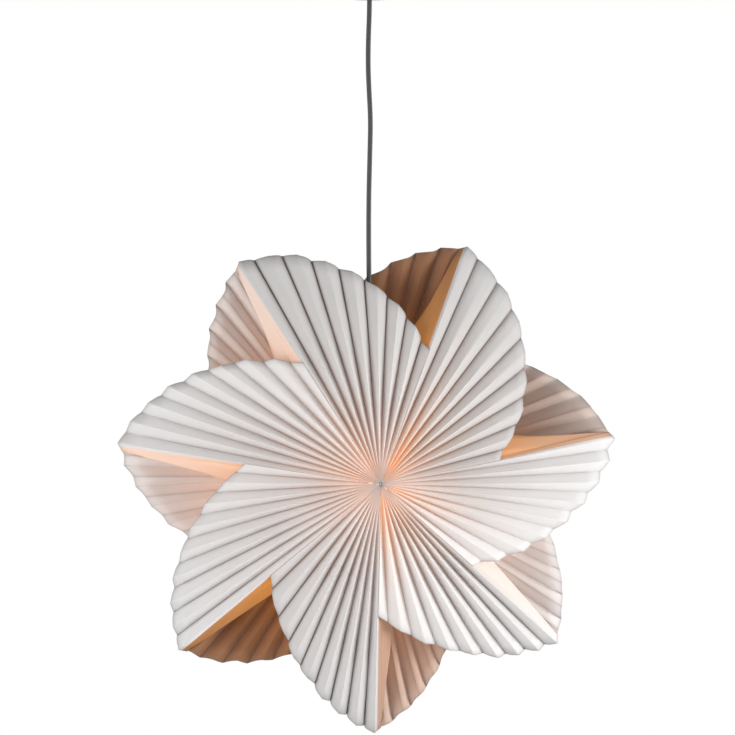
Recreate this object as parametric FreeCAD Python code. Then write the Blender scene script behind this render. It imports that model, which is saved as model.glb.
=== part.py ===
import FreeCAD, Part
import math
import os

from FreeCAD import Vector

# A seven-petal star lamp of pleated paper. It hangs on its flex from a ceiling hook.
# Millimetres, +Z up. The origin is where the bracket meets the ceiling; the star faces -Y.

# ---------------------------------------------------------------- driving dimensions
STAR_DROP = 640.0            # ceiling to the middle of the star
STAR_RADIUS = 300.0          # middle of the star to a petal tip
STAR_HALF_DEPTH = 105.0      # middle of the star to the front or back hub
TIP_ANGLES = (121.0, 67.1, 9.2, -41.1, -89.0, -138.8, -188.5)   # petal tips, seen from the front

PAPER = 0.3                  # thickness of the sheet
FLAT_SHARE = 0.0633          # one flat of the pleated sheet, crease to crease, as a share of the radius
PLEATS_PER_LEAF = 8
FOLD_WIDTH = 0.34            # width of the pressed fold at a crease
HUB_RADIUS = 7.5             # where the gathered flats end
# Length of each front leaf's last crease, as a share of its first, and how unevenly its pleats open
FRONT_JUNCTIONS = (0.555, 0.495, 0.505, 0.52, 0.54, 0.51, 0.54)
FRONT_SPREADS = (0.06, 0.06, 0.2, 0.3, 0.3, 0.2, 0.15)
BACK_JUNCTION = 0.525
BACK_SPREAD = 0.2
OUTLINE_BULGE = 0.047        # how far the rim bows out of a straight cut
OUTLINE_LEAN = 0.8           # below one, the bow leans towards the tip
LEAF_GAP = 0.7               # free space between a leaf's last crease and the next petal
WEB_FLATS = 8                # flats of the web that joins a petal's two leaves
TIP_STACK = 5.0              # half the depth of the web's folded stack at the tip
TIP_FOLD = 8.0               # how far the stack's folds stand out sideways
TIP_CUT = 3.0                # how far the stack's folds end short of the tip
LAMP_ROOM = 118.0            # radius that the webs leave free round the bulb, at the middle plane
WEB_BOW = 34.0               # how far a web's free edge bows out, anticlockwise
WEB_BOW_RISE = 1.5           # above one, the bow keeps low near the hubs

BOSS_WALL_GAP = 0.3          # hub boss to the gathered flats
BOSS_LENGTH = 14.0
BOSS_BORE = 1.5
BOSS_HEAD = 1.2
WIRE_RADIUS = 1.2            # hanger wire of the star
WIRE_STUB = 3.0              # wire end that stands out of the boss
WIRE_SIDES = 8
EYELET_RADIUS = 3.0
EYELET_HEIGHT = 2.2

HOLDER_RADIUS = 21.0         # lampholder body
HOLDER_LENGTH = 40.0
HOLDER_WALL = 2.2
HOLDER_BASE_UP = 44.0        # open end of the lampholder above the middle of the star
CAP_LENGTH = 24.0
CAP_NECK_RADIUS = 7.0
CAP_JOINT_GAP = 0.1
FLANGE_RADIUS = 24.5
FLANGE_THICKNESS = 2.5
FLANGE_UP = 17.0             # flange above the lampholder's open end
RING_RADIUS = 27.5
RING_HEIGHT = 8.0
RING_TEETH = 20
RING_TOOTH = 1.2
RUNNING_GAP = 0.3            # between pieces that turn or slide on each other
COLLAR_THICKNESS = 1.6       # ring plate of the star's hanger
COLLAR_WIDTH = 5.0

SCREW_SHELL_RADIUS = 13.9    # lampholder's brass screw shell, inside
SCREW_SHELL_WALL = 0.5
SCREW_SHELL_LENGTH = 24.0
BULB_BASE_RADIUS = 13.2
BULB_BASE_LENGTH = 22.0
BULB_BASE_WALL = 0.6
BULB_GLOBE_RADIUS = 30.0
BULB_NECK_RADIUS = 12.6
BULB_GLASS = 1.0
BULB_MOUTH = 19.0            # outer radius of the globe's neck
GLOBE_STEPS = 9              # straight steps of the globe's round profile
BULB_GLOBE_UP = -4.0         # globe's middle above the middle of the star
CONTACT_RADIUS = 4.0

CORD_WIDTH = 5.8             # flat twin flex
CORD_THICKNESS = 4.0
FLEX_SIDES = 4               # plane sides of the flex's round edge
CORD_GRIP_LENGTH = 12.0
CORD_GRIP_RADIUS = 5.6
CORD_FIT = 0.1
# The hanging stretch, from the clip to the cord grip: sideways, towards the back, and height
CORD_ROUTE = (
    (0.0, 0.0, -55.0), (0.0, 0.0, -90.0), (-0.9, 0.3, -140.0), (-1.7, 0.5, -195.0),
    (0.5, 0.3, -250.0), (0.6, -0.3, -305.0), (-0.9, -0.5, -360.0), (-1.4, -0.2, -410.0),
    (-0.6, 0.1, -455.0), (0.0, 0.0, -496.0), (0.0, 0.0, -520.0),
)

STRAP_LENGTH = 78.0          # ceiling bracket
STRAP_WIDTH = 18.0
STRAP_THICKNESS = 2.0
STRAP_OFFSET = 5.0           # drop of its middle
STRAP_MIDDLE = 26.0
STRAP_SLOPE = 5.0
SCREW_SPACING = 60.0
SCREW_HOLE_RADIUS = 2.2

EYE_RADIUS = 5.0             # ceiling eye, link and clip eye
EYE_WIRE = 1.25
LINK_RADIUS = 5.0
LINK_WIRE = 1.2
CLIP_EYE_RADIUS = 4.0
CLIP_WIRE = 1.2
LINK_GAP = 0.3
EYE_STEM = 3.0
CLIP_WIDTH = 14.0
CLIP_DEPTH = 8.0
TERMINAL_SIZE = (12.0, 16.0, 14.0)
TERMINAL_SIDE = 24.0

CUP_GAP = 6.0                # ceiling to the cup's rim
CUP_HEIGHT = 62.0
CUP_RIM_RADIUS = 50.0
CUP_WALL = 1.6
CUP_SHOULDER = 14.0
BUSH_RADIUS = 6.5
BUSH_HEIGHT = 11.0
BUSH_PLAY = 1.8              # room for the flex's slow waves
BUSH_FLANGE = 9.0
BUSH_FLANGE_HEIGHT = 2.0
GRUB_RADIUS = 1.5

ROUND_SIDES = 32             # plane sides of a turned piece
SMALL_SIDES = 20             # and of a small one

# ---------------------------------------------------------------- derived places
STAR_HEIGHT = -STAR_DROP
CREASES = 2 * PLEATS_PER_LEAF
FLAT_WIDTH = FLAT_SHARE * STAR_RADIUS
PETALS = len(TIP_ANGLES)
CONE_ANGLE = math.atan2(STAR_HALF_DEPTH - TIP_STACK, STAR_RADIUS - HUB_RADIUS)
SLOTS = CREASES + 2          # places round the hub that one petal takes
HOLDER_BASE = STAR_HEIGHT + HOLDER_BASE_UP
HOLDER_TOP = HOLDER_BASE + HOLDER_LENGTH
CAP_TOP = HOLDER_TOP + CAP_LENGTH
CORD_TOP = CORD_ROUTE[0][2]
CORD_END = CORD_ROUTE[-1][2]
GRIP_BOTTOM = CAP_TOP
STRAP_BOTTOM = -(STRAP_OFFSET + STRAP_THICKNESS)
EYE_HEIGHT = STRAP_BOTTOM - EYE_STEM - EYE_RADIUS
EYE_SEAT = EYE_HEIGHT - EYE_RADIUS
LINK_TOP = EYE_SEAT + EYE_WIRE + LINK_GAP + LINK_WIRE
LINK_HEIGHT = LINK_TOP - LINK_RADIUS
LINK_SEAT = LINK_HEIGHT - LINK_RADIUS
CLIP_TOP = LINK_SEAT + LINK_WIRE + LINK_GAP + CLIP_WIRE
CLIP_EYE_HEIGHT = CLIP_TOP - CLIP_EYE_RADIUS
CUP_BOTTOM = -(CUP_GAP + CUP_HEIGHT)

UP = Vector(0, 0, 1)
FORWARD = Vector(0, -1, 0)
RIGHT = Vector(1, 0, 0)


def save(name, shape):
    shape.exportStep("parts/%s.step" % name)
    print("%-18s solids %d  volume %.1f  valid %s" % (name, len(shape.Solids), shape.Volume, shape.isValid()))


# ---------------------------------------------------------------- pleated petals
def on_star(angle, radius, y):
    """A point at a clock angle and a radius about the star's axis, y from its middle plane."""
    turn = math.radians(angle)
    return Vector(radius * math.cos(turn), y, STAR_HEIGHT + radius * math.sin(turn))


def across(angle):
    turn = math.radians(angle)
    return Vector(-math.sin(turn), 0, math.cos(turn))


def cone_depth(radius):
    """Distance from the middle plane to the crease line of a leaf, at a radius."""
    share = (STAR_RADIUS - radius) / (STAR_RADIUS - HUB_RADIUS)
    return TIP_STACK + (STAR_HALF_DEPTH - TIP_STACK) * share


def outline(share, junction):
    """Length of a crease, as a share of the tip's: the leaf's bowed cut."""
    bow = OUTLINE_BULGE * math.sin(math.pi * share ** OUTLINE_LEAN)
    return 1.0 - (1.0 - junction) * share + bow


def spread(share, cubic):
    """Where a crease comes in its leaf's angle: the pleats open wider beside the shorter creases."""
    return (1.0 - cubic) * share + cubic * share ** 3


def leaf_creases(tip, span, side, junction, cubic):
    """Creases of one leaf from the tip line outwards, each as its hub end and rim end, doubled at the fold.

    side is 1 for the front leaf, which goes clockwise, and -1 for the back leaf, which goes the other way.
    """
    clear = math.degrees(LEAF_GAP / (STAR_RADIUS * junction))
    slot = span / SLOTS
    flats = []
    for step in range(CREASES + 1):
        share = step / CREASES
        radius = STAR_RADIUS * outline(share, junction)
        angle = tip - side * (span - clear) * spread(share, cubic)
        flats.append((angle, radius, -side * cone_depth(radius)))
    creases = []
    for step, (angle, radius, y) in enumerate(flats):
        near = [on_star(*flats[n]) for n in (step - 1, step + 1) if 0 <= n <= CREASES]
        rim = on_star(angle, radius, y)
        chord = sum((point - rim).Length for point in near) / len(near)
        valley = step % 2
        depth = valley * math.sqrt(FLAT_WIDTH ** 2 - chord ** 2)
        rim = on_star(angle, radius - depth * math.sin(CONE_ANGLE), y + side * depth * math.cos(CONE_ANGLE))
        hub_angle = tip - side * slot * step
        hub = on_star(hub_angle, HUB_RADIUS, -side * (STAR_HALF_DEPTH - valley * FLAT_WIDTH))
        for half in (0.5, -0.5):
            fold = side * half * FOLD_WIDTH
            creases.append((hub + across(hub_angle) * fold, rim + across(angle) * fold))
    return creases


def web_creases(tip, front_slot, back_slot):
    """Creases of the web between a petal's front line and its back line. They fan out from the tip's stack."""
    creases = []
    for step in range(1, WEB_FLATS):
        side = 1 if step < WEB_FLATS / 2 else -1
        odd = step % 2
        share = 2.0 * (step - 1) / (WEB_FLATS - 2) - 1.0
        bow = 1.0 - share ** 2
        lean = {1: front_slot, WEB_FLATS - 1: -back_slot}.get(step, 0.0)
        middle = HUB_RADIUS + LAMP_ROOM * math.sqrt(bow)
        inner = on_star(tip + lean, middle, (STAR_HALF_DEPTH - FLAT_WIDTH) * share)
        inner = inner + across(tip) * (WEB_BOW * bow ** WEB_BOW_RISE)
        radius = STAR_RADIUS - TIP_CUT * (1 + odd)
        outer = on_star(tip, radius, TIP_STACK * (2.0 * step / WEB_FLATS - 1.0))
        outer = outer + across(tip) * (side * odd * TIP_FOLD)
        creases.append((inner, outer))
    return creases


def offset_line(line, other, distance):
    """The line moved sideways off the sheet by a distance, mitred at each crease."""
    normals = []
    for n in range(len(line) - 1):
        along = (other[n] - line[n]).normalize() + (other[n + 1] - line[n + 1]).normalize()
        normals.append((line[n + 1] - line[n]).cross(along).normalize())
    moved = []
    for n, point in enumerate(line):
        before = normals[max(n - 1, 0)]
        after = normals[min(n, len(normals) - 1)]
        moved.append(point + (before + after) * (distance / (1.0 + before.dot(after))))
    return moved


def flat(a, b, c, d):
    """A flat of the sheet between four corners, as two plane halves because the corners twist a little."""
    return [Part.Face(Part.makePolygon([a, b, c, a])), Part.Face(Part.makePolygon([a, c, d, a]))]


def sheet_solid(creases, tip_flat):
    """The creased sheet as a closed solid: its flats on both sides, closed along its cut edges.

    tip_flat is the number of the flat that twists most, behind the front line. It is halved the other way,
    so that it leaves the neighbouring leaf free.
    """
    inner = [crease[0] for crease in creases]
    outer = [crease[1] for crease in creases]
    half = PAPER / 2
    corners = []
    for sign in (1, -1):
        corners.append(offset_line(inner, outer, sign * half))
        moved = offset_line(outer, [o + (o - i) for i, o in creases], sign * half)
        corners.append(moved)
    top_in, top_out, low_in, low_out = corners
    last = len(creases) - 1
    faces = flat(top_in[0], low_in[0], low_out[0], top_out[0])
    faces += flat(top_in[last], low_in[last], low_out[last], top_out[last])
    for n in range(last):
        a, b = (n + 1, n) if n == tip_flat else (n, n + 1)
        faces += flat(top_in[a], top_in[b], top_out[b], top_out[a])
        faces += flat(low_in[a], low_in[b], low_out[b], low_out[a])
        faces += flat(top_in[n], top_in[n + 1], low_in[n + 1], low_in[n])
        faces += flat(top_out[n], top_out[n + 1], low_out[n + 1], low_out[n])
    shell = Part.makeShell(faces)
    shell.sewShape()
    solid = Part.makeSolid(Part.Shell(shell.Faces))
    if solid.Volume < 0:
        solid.reverse()
    return solid


def petal(number):
    tip = TIP_ANGLES[number]
    front_span = (tip - TIP_ANGLES[(number + 1) % PETALS]) % 360.0
    back_span = (TIP_ANGLES[number - 1] - tip) % 360.0
    front = leaf_creases(tip, front_span, 1, FRONT_JUNCTIONS[number], FRONT_SPREADS[number])
    back = leaf_creases(tip, back_span, -1, BACK_JUNCTION, BACK_SPREAD)
    web = web_creases(tip, back_span / SLOTS, front_span / SLOTS)
    return sheet_solid(front[::-1] + web + back, len(front) - 1)


# ---------------------------------------------------------------- hubs and hanger of the star
def turned(profile, axis_point, axis, sides=ROUND_SIDES):
    """A turned solid from (radius, height) corners about an axis, as a many-sided prism of plane faces."""
    def ring(radius, height):
        if radius < 1e-6:
            return [Vector(0, 0, height)] * sides
        turns = [math.tau * n / sides for n in range(sides)]
        return [Vector(radius * math.cos(turn), radius * math.sin(turn), height) for turn in turns]

    rings = [ring(*corner) for corner in profile]
    faces = []
    for low, high in zip(rings, rings[1:] + rings[:1]):
        for n in range(sides):
            corners = []
            for point in (low[n], low[n - 1], high[n - 1], high[n]):
                if all((point - other).Length > 1e-6 for other in corners):
                    corners.append(point)
            if len(corners) > 2:
                faces.append(Part.Face(Part.makePolygon(corners + corners[:1])))
    shell = Part.makeShell(faces)
    shell.sewShape()
    solid = Part.makeSolid(Part.Shell(shell.Faces))
    if solid.Volume < 0:
        solid.reverse()
    solid = solid.removeSplitter()
    solid.Placement = FreeCAD.Placement(axis_point, FreeCAD.Rotation(UP, axis)).multiply(solid.Placement)
    return solid


def hub_boss(side):
    """The boss that the gathered flats close on. Its bore takes the end of the hanger wire."""
    radius = HUB_RADIUS - PAPER - BOSS_WALL_GAP - FOLD_WIDTH
    waist = radius - 1.2
    profile = [
        (BOSS_BORE, 0.0), (waist, 0.0), (radius, BOSS_HEAD), (radius, BOSS_LENGTH - BOSS_HEAD),
        (radius - BOSS_HEAD, BOSS_LENGTH), (BOSS_BORE, BOSS_LENGTH),
    ]
    start = Vector(0, side * (STAR_HALF_DEPTH - FLAT_WIDTH + 1.0), STAR_HEIGHT)
    return turned(profile, start, Vector(0, side, 0), SMALL_SIDES)


def hub_face(side):
    return side * (STAR_HALF_DEPTH - FLAT_WIDTH + 1.0 + BOSS_LENGTH)


def hub_eyelet(side):
    """The small rolled eyelet that keeps the wire end in the boss."""
    bore = WIRE_RADIUS + 0.15
    profile = [
        (bore, 0.0), (EYELET_RADIUS, 0.0), (EYELET_RADIUS, 0.6), (EYELET_RADIUS - 0.9, EYELET_HEIGHT),
        (bore, EYELET_HEIGHT),
    ]
    start = Vector(0, hub_face(side) + side * 0.05, STAR_HEIGHT)
    return turned(profile, start, Vector(0, side, 0), SMALL_SIDES)


def collar_height():
    return HOLDER_BASE + FLANGE_UP - RUNNING_GAP - COLLAR_THICKNESS


def wire_bar(points, radius):
    """A bent wire of eight sides along a line of points in the plane x = 0, mitred at its bends."""
    rings = []
    for n, point in enumerate(points):
        before = (point - points[max(n - 1, 0)])
        after = (points[min(n + 1, len(points) - 1)] - point)
        along = [d.normalize() for d in (before, after) if d.Length > 1e-6]
        middle = along[0] + along[-1]
        side = Vector(0, -middle.z, middle.y).normalize()
        mitre = side / abs(side.dot(Vector(0, -along[0].z, along[0].y)))
        turns = [math.tau * (k + 0.5) / WIRE_SIDES for k in range(WIRE_SIDES)]
        rings.append([point + (RIGHT * math.cos(t) + mitre * math.sin(t)) * radius for t in turns])
    faces = [Part.Face(Part.makePolygon(ring + ring[:1])) for ring in (rings[0], rings[-1])]
    for low, high in zip(rings, rings[1:]):
        for k in range(WIRE_SIDES):
            faces += flat(low[k], low[k - 1], high[k - 1], high[k])
    shell = Part.makeShell(faces)
    shell.sewShape()
    solid = Part.makeSolid(Part.Shell(shell.Faces))
    if solid.Volume < 0:
        solid.reverse()
    return solid


def hanger():
    """Collar round the lampholder with two wire arms that carry the front and back hubs."""
    bore = HOLDER_RADIUS + RUNNING_GAP
    level = collar_height()
    rim = bore + COLLAR_WIDTH
    shape = ring_of(rim, bore, level, level + COLLAR_THICKNESS)
    for side in (-1, 1):
        inner = rim - WIRE_RADIUS
        top = level + WIRE_RADIUS
        end = hub_face(side) + side * WIRE_STUB
        knee = side * (STAR_HALF_DEPTH - FLAT_WIDTH - 9.0)
        bend = rim + 7.0
        fall = (knee * side - bend, top - STAR_HEIGHT)
        points = [(inner, top), (bend - 2.0, top)]
        points.append((bend + 0.02 * fall[0], top - 0.02 * fall[1]))
        points.append((knee * side - 0.02 * fall[0], STAR_HEIGHT + 0.02 * fall[1]))
        points += [(knee * side + 2.0, STAR_HEIGHT), (end * side, STAR_HEIGHT)]
        shape = shape.fuse(wire_bar([Vector(0, side * y, z) for y, z in points], WIRE_RADIUS))
    return shape.removeSplitter()


# ---------------------------------------------------------------- lampholder
def ring_of(outer, inner, low, high):
    return turned([(outer, low), (outer, high), (inner, high), (inner, low)], Vector(0, 0, 0), UP)


def lampholder_body():
    """The skirt: a tube with a flange for the shade."""
    flange = HOLDER_BASE + FLANGE_UP
    inner = HOLDER_RADIUS - HOLDER_WALL
    profile = [
        (inner, HOLDER_BASE), (HOLDER_RADIUS, HOLDER_BASE), (HOLDER_RADIUS, flange), (FLANGE_RADIUS, flange),
        (FLANGE_RADIUS, flange + FLANGE_THICKNESS), (HOLDER_RADIUS, flange + FLANGE_THICKNESS),
        (HOLDER_RADIUS, HOLDER_TOP), (inner, HOLDER_TOP),
    ]
    return turned(profile, Vector(0, 0, 0), UP)


def lampholder_cap():
    """The domed cap, which narrows to the neck that takes the cord grip."""
    low = HOLDER_TOP + CAP_JOINT_GAP
    top = CAP_TOP - CAP_JOINT_GAP
    dome = [
        (HOLDER_RADIUS, low), (HOLDER_RADIUS, low + 5.0), (HOLDER_RADIUS - 1.4, low + 9.2),
        (HOLDER_RADIUS - 4.6, low + 13.0), (CAP_NECK_RADIUS + 4.0, low + 16.5), (CAP_NECK_RADIUS, low + 19.0),
    ]
    bore = CORD_WIDTH / 2 + 0.4
    inside = [(radius - HOLDER_WALL, height - 0.6 * HOLDER_WALL) for radius, height in dome[1:]]
    inside = [(HOLDER_RADIUS - HOLDER_WALL, low)] + inside
    profile = dome + [(CAP_NECK_RADIUS, top), (bore, top), (bore, inside[-1][1])]
    return turned(profile + inside[::-1], Vector(0, 0, 0), UP)


def lampholder_insert():
    """The insulating insert that carries the brass screw shell and the contact."""
    top = HOLDER_TOP
    radius = HOLDER_RADIUS - HOLDER_WALL - 0.15
    low = top - 9.0
    disc = turned([(0.0, low), (radius, low), (radius, low + 7.0), (0.0, low + 7.0)], Vector(0, 0, 0), UP)
    slot = Part.makeBox(9.0, 2.0, 4.0, Vector(-4.5, -1.0, low + 3.0))
    holes = [Part.makeCylinder(1.6, 7.0, Vector(x, 0, low)) for x in (-10.5, 10.5)]
    return disc.cut(Part.makeCompound([slot] + holes))


def screw_shell():
    """The brass screw shell, as a plain tube at its thread's root."""
    high = HOLDER_TOP - 9.0 - 0.1
    low = high - SCREW_SHELL_LENGTH
    return ring_of(SCREW_SHELL_RADIUS + SCREW_SHELL_WALL, SCREW_SHELL_RADIUS, low, high)


def centre_contact():
    """Springy brass tongue that presses on the bulb's tip."""
    top = HOLDER_TOP - 9.0 - 0.1
    base = Part.makeBox(14.0, 4.0, 0.6, Vector(-7.0, -2.0, top - 0.6))
    tip = Part.makeCylinder(2.2, 1.4, Vector(0, 0, top - 2.0))
    return base.fuse(tip).removeSplitter()


def cord_grip():
    """Ribbed clamping nut on the cap's neck, which grips the flex."""
    low = GRIP_BOTTOM
    high = low + CORD_GRIP_LENGTH
    profile = [
        (CORD_GRIP_RADIUS + 1.4, low), (CORD_GRIP_RADIUS + 1.4, low + 7.0), (CORD_GRIP_RADIUS - 1.4, high),
        (0.0, high), (0.0, low),
    ]
    nut = turned(profile, Vector(0, 0, 0), UP, SMALL_SIDES)
    return nut.cut(flex_bar(low, high, CORD_FIT))


def flex_section(height, fit):
    """The flat twin flex's outline at a height, widened by a fit. Its round edges have plane sides."""
    radius = CORD_THICKNESS / 2 + fit
    reach = (CORD_WIDTH - CORD_THICKNESS) / 2
    corners = []
    for side in (1, -1):
        for step in range(FLEX_SIDES + 1):
            turn = math.pi * (step / FLEX_SIDES - 0.5)
            corners.append(Vector(side * (reach + radius * math.cos(turn)), side * radius * math.sin(turn), height))
    return Part.makePolygon(corners + corners[:1])


def flex_bar(low, high, fit):
    return Part.Face(flex_section(low, fit)).extrude(UP * (high - low))


def cord():
    """The hanging stretch of flex: straight runs joined by tangent arcs, one section carried along them."""
    points = [Vector(*place) for place in CORD_ROUTE]
    section = Part.Face(flex_section(points[0].z, 0.0))
    area = section.Area
    start = points[0]
    pieces = []
    radii = []
    length = 0.0
    for n in range(1, len(points) - 1):
        corner = points[n]
        back = points[n - 1] - corner
        ahead = points[n + 1] - corner
        turn = math.pi - back.getAngle(ahead)
        reach = 0.45 * min(back.Length, ahead.Length)
        radius = reach / math.tan(turn / 2)
        back.normalize()
        ahead.normalize()
        run = corner + back * reach - start
        pieces.append(section.extrude(run))
        section.translate(run)
        centre = corner + (back + ahead).normalize() * (radius / math.cos(turn / 2))
        axis = ahead.cross(back)
        pieces.append(section.revolve(centre, axis, math.degrees(turn)))
        section.rotate(centre, axis, math.degrees(turn))
        radii.append(radius)
        length += run.Length + radius * turn
        start = corner + ahead * reach
    pieces.append(section.extrude(points[-1] - start))
    length += (points[-1] - start).Length
    print("cord length %.1f, section x length %.1f" % (length, area * length))
    print("cord radii " + ", ".join("%.0f" % radius for radius in radii))
    return pieces[0].fuse(pieces[1:]).removeSplitter()


def shade_ring():
    """Toothed ring on the lampholder's thread, which holds the star's collar up against the flange."""
    low = collar_height() - RUNNING_GAP - RING_HEIGHT
    bore = HOLDER_RADIUS + RUNNING_GAP
    rim = []
    for n in range(RING_TEETH):
        for share, radius in ((-0.3, RING_RADIUS), (0.3, RING_RADIUS), (0.5, RING_RADIUS - RING_TOOTH)):
            turn = math.tau * (n + share) / RING_TEETH
            rim.append(Vector(radius * math.cos(turn), radius * math.sin(turn), low))
    disc = Part.Face(Part.makePolygon(rim + rim[:1])).extrude(UP * RING_HEIGHT)
    return disc.cut(Part.makeCylinder(bore, RING_HEIGHT, Vector(0, 0, low)))


# ---------------------------------------------------------------- bulb
def bulb_seat():
    """Height of the bulb's tip when it is screwed home."""
    return HOLDER_TOP - 9.0 - 0.1 - 2.0 - RUNNING_GAP


def bulb_base():
    high = bulb_seat() - 4.0
    low = high - BULB_BASE_LENGTH
    return ring_of(BULB_BASE_RADIUS, BULB_BASE_RADIUS - BULB_BASE_WALL, low, high)


def bulb_insulator():
    high = bulb_seat() - 1.2
    low = high - 2.6
    profile = [(CONTACT_RADIUS + 0.1, high), (BULB_BASE_RADIUS - 1.5, low), (CONTACT_RADIUS + 0.1, low)]
    return turned(profile, Vector(0, 0, 0), UP, SMALL_SIDES)


def bulb_contact():
    high = bulb_seat()
    profile = [
        (0.0, high), (2.0, high - 0.2), (CONTACT_RADIUS, high - 1.2), (CONTACT_RADIUS, high - 4.0),
        (0.0, high - 4.0),
    ]
    return turned(profile, Vector(0, 0, 0), UP, SMALL_SIDES)


def bulb_collar():
    """The plastic cone between the screw base and the globe."""
    high = bulb_seat() - 4.0 - BULB_BASE_LENGTH - 0.1
    low = high - 16.0
    wall = 1.6
    outer = [(BULB_NECK_RADIUS, high), (BULB_NECK_RADIUS + 1.2, high - 4.0), (19.0, low)]
    inner = [(r - wall, z) for r, z in outer]
    return turned(outer + inner[::-1], Vector(0, 0, 0), UP)


def bulb_globe():
    """The opal globe: a blown shell that closes in to the collar."""
    centre = STAR_HEIGHT + BULB_GLOBE_UP
    high = bulb_seat() - 4.0 - BULB_BASE_LENGTH - 0.1 - 16.0 - 0.1
    walls = []
    for radius in (BULB_GLOBE_RADIUS, BULB_GLOBE_RADIUS - BULB_GLASS):
        neck = BULB_MOUTH + radius - BULB_GLOBE_RADIUS
        start = math.acos(neck / radius)
        wall = [(neck, high)]
        for step in range(GLOBE_STEPS + 1):
            turn = start - (start + math.pi / 2) * step / GLOBE_STEPS
            wall.append((max(radius * math.cos(turn), 0.0), centre + radius * math.sin(turn)))
        walls.append(wall)
    return turned(walls[0] + walls[1][::-1], Vector(0, 0, 0), UP)


# ---------------------------------------------------------------- ceiling fitting
def ceiling_bracket():
    """Bent steel strap: two feet on the ceiling and a dropped middle that takes the eye."""
    half = STRAP_LENGTH / 2
    middle = STRAP_MIDDLE / 2
    foot = middle + STRAP_SLOPE
    t = STRAP_THICKNESS
    d = STRAP_OFFSET
    right = [(half, 0.0), (half, -t), (foot + 0.6, -t), (middle + 0.6, -d - t)]
    inner = [(middle, -d), (foot, 0.0)]
    points = right + [(-x, z) for x, z in right[::-1]]
    points += [(-x, z) for x, z in inner[::-1]] + inner
    wire = Part.makePolygon([Vector(x, -STRAP_WIDTH / 2, z) for x, z in points + points[:1]])
    strap = Part.Face(wire).extrude(Vector(0, STRAP_WIDTH, 0))
    ends = [e for e in strap.Edges if e.BoundBox.ZLength > t - 0.1 and abs(abs(e.BoundBox.XMin) - half) < 0.1
            and e.BoundBox.XLength < 0.1 and e.BoundBox.YLength < 0.1]
    strap = strap.makeFillet(5.0, ends)
    for side in (-1, 1):
        hole = Part.makeCylinder(SCREW_HOLE_RADIUS, t, Vector(side * SCREW_SPACING / 2, 0, -t))
        strap = strap.cut(hole)
    return strap.cut(Part.makeCylinder(EYE_WIRE + 0.6, t, Vector(0, 0, -d - t)))


def flat_eye(radius, wire, height):
    """An eye stamped out of sheet, on the front-to-back axis."""
    profile = [(radius + wire, -wire), (radius + wire, wire), (radius - wire, wire), (radius - wire, -wire)]
    return turned(profile, Vector(0, 0, height), FORWARD, SMALL_SIDES)


def ceiling_eye():
    """The eye that carries the lamp: its stem is riveted in the bracket's middle."""
    eye = flat_eye(EYE_RADIUS, EYE_WIRE, EYE_HEIGHT)
    stem_low = EYE_HEIGHT + EYE_RADIUS - 0.5
    stem = Part.makeCylinder(EYE_WIRE + 0.55, -STRAP_OFFSET - stem_low, Vector(0, 0, stem_low))
    rivet = Part.makeCylinder(EYE_WIRE + 2.0, 1.5, Vector(0, 0, -STRAP_OFFSET))
    collar = Part.makeCylinder(EYE_WIRE + 1.6, 1.2, Vector(0, 0, STRAP_BOTTOM - 1.2))
    return eye.fuse([stem, rivet, collar]).removeSplitter()


def hanger_link():
    """The ring that joins the ceiling's eye to the clip's."""
    profile = []
    for n in range(WIRE_SIDES):
        turn = math.tau * (n + 0.5) / WIRE_SIDES
        profile.append((LINK_RADIUS + LINK_WIRE * math.cos(turn), LINK_WIRE * math.sin(turn)))
    return turned(profile, Vector(0, 0, LINK_HEIGHT), RIGHT, SMALL_SIDES)


def cord_clip():
    """The strain-relief clip: an eye over a block that grips the flex."""
    eye = flat_eye(CLIP_EYE_RADIUS, CLIP_WIRE, CLIP_EYE_HEIGHT)
    high = CLIP_EYE_HEIGHT - CLIP_EYE_RADIUS + 0.6
    block = Part.makeBox(CLIP_WIDTH, CLIP_DEPTH, high - CORD_TOP, Vector(-CLIP_WIDTH / 2, -CLIP_DEPTH / 2, CORD_TOP))
    block = block.makeFillet(2.0, [e for e in block.Edges if e.BoundBox.ZLength > 5.0])
    block = block.makeChamfer(1.0, [e for e in block.Edges if e.BoundBox.ZMin > high - 0.1])
    window = Part.makeBox(5.0, CLIP_DEPTH, 6.0, Vector(-2.5, -CLIP_DEPTH / 2, high - 9.5))
    return eye.fuse(block.cut(window)).removeSplitter()


def tail_level():
    return (CLIP_EYE_HEIGHT - CLIP_EYE_RADIUS + CORD_TOP) / 2


def cord_tail():
    """The short end of the flex, from the clip to the terminal block."""
    start = Vector(CLIP_WIDTH / 2 + 0.05, 0, tail_level())
    end = Vector(TERMINAL_SIDE - TERMINAL_SIZE[0] / 2 - 0.05, 0, tail_level())
    return Part.makeCylinder(CORD_THICKNESS / 2, (end - start).Length, start, RIGHT)


def terminal_block():
    """Two-way terminal block on the flex's end."""
    wide, deep, high = TERMINAL_SIZE
    corner = Vector(TERMINAL_SIDE - wide / 2, -deep / 2, tail_level() - high / 2)
    block = Part.makeBox(wide, deep, high, corner)
    cuts = []
    for y in (-4.0, 4.0):
        cuts.append(Part.makeCylinder(1.8, 6.0, Vector(TERMINAL_SIDE, y, tail_level() + high / 2 - 6.0)))
        cuts.append(Part.makeCylinder(1.6, 5.0, Vector(TERMINAL_SIDE + wide / 2 - 5.0, y, tail_level()), RIGHT))
    return block.cut(Part.makeCompound(cuts))


def terminal_screws():
    """The two clamping screws in the terminal block."""
    high = tail_level() + TERMINAL_SIZE[2] / 2
    screws = []
    for y in (-4.0, 4.0):
        screw = Part.makeCylinder(1.6, 4.5, Vector(TERMINAL_SIDE, y, high - 5.9))
        slot = Part.makeBox(3.2, 0.6, 0.8, Vector(TERMINAL_SIDE - 1.6, y - 0.3, high - 2.2))
        screws.append(screw.cut(slot))
    return Part.makeCompound(screws)


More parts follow.
